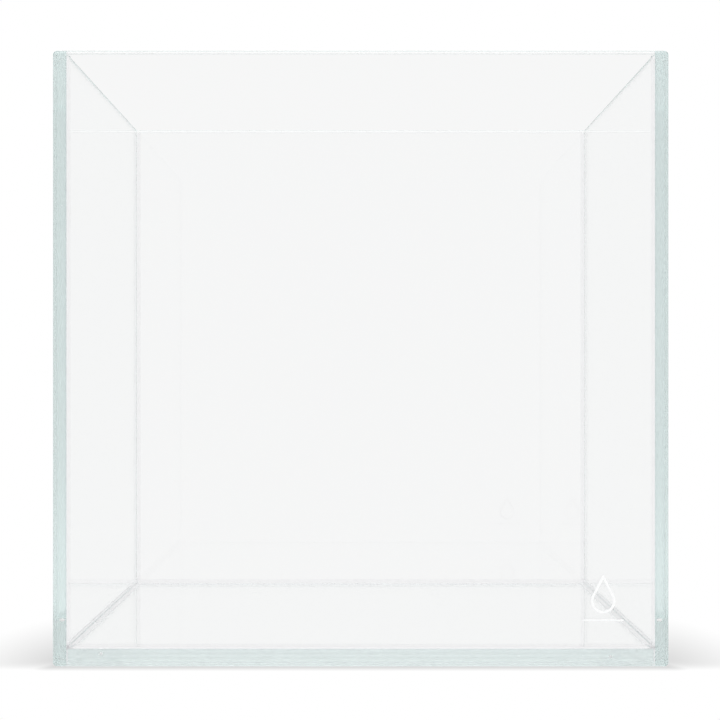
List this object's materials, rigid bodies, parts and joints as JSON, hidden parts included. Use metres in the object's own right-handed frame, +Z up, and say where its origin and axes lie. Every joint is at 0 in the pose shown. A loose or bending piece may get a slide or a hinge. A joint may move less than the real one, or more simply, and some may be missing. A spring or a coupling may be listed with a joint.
{
  "type": "glass aquarium tank",
  "caption": "Rimless open-top cube aquarium of clear glass panels bonded edge to edge with clear silicone, with a plain frosted drop mark low on the front.",
  "frame": {"origin": "on the surface that the tank stands on, under its centre", "axes": "+X to the right seen from the front, +Y from the front panel to the back panel, +Z up"},
  "size_m": [0.3, 0.3001, 0.3],
  "materials": {
    "clear_glass": "clear low-iron float glass, edges ground flat with an arris and polished, pale aqua along the edges",
    "clear_silicone": "clear cured silicone, smooth and slightly milky, with a few small bubbles",
    "frosted_film": "thin matte frosted film"
  },
  "bodies": {
    "root": {"front_panel": "clear_glass", "back_panel": "clear_glass", "left_panel": "clear_glass", "right_panel": "clear_glass", "base_panel": "clear_glass", "front_base_bond": "clear_silicone", "back_base_bond": "clear_silicone", "left_base_bond": "clear_silicone", "right_base_bond": "clear_silicone", "front_base_seal": "clear_silicone", "back_base_seal": "clear_silicone", "left_base_seal": "clear_silicone", "right_base_seal": "clear_silicone", "front_left_corner_bond": "clear_silicone", "front_right_corner_bond": "clear_silicone", "back_left_corner_bond": "clear_silicone", "back_right_corner_bond": "clear_silicone", "front_left_corner_seal": "clear_silicone", "front_right_corner_seal": "clear_silicone", "back_left_corner_seal": "clear_silicone", "back_right_corner_seal": "clear_silicone", "frosted_mark": "frosted_film"}
  },
  "joints": []
}
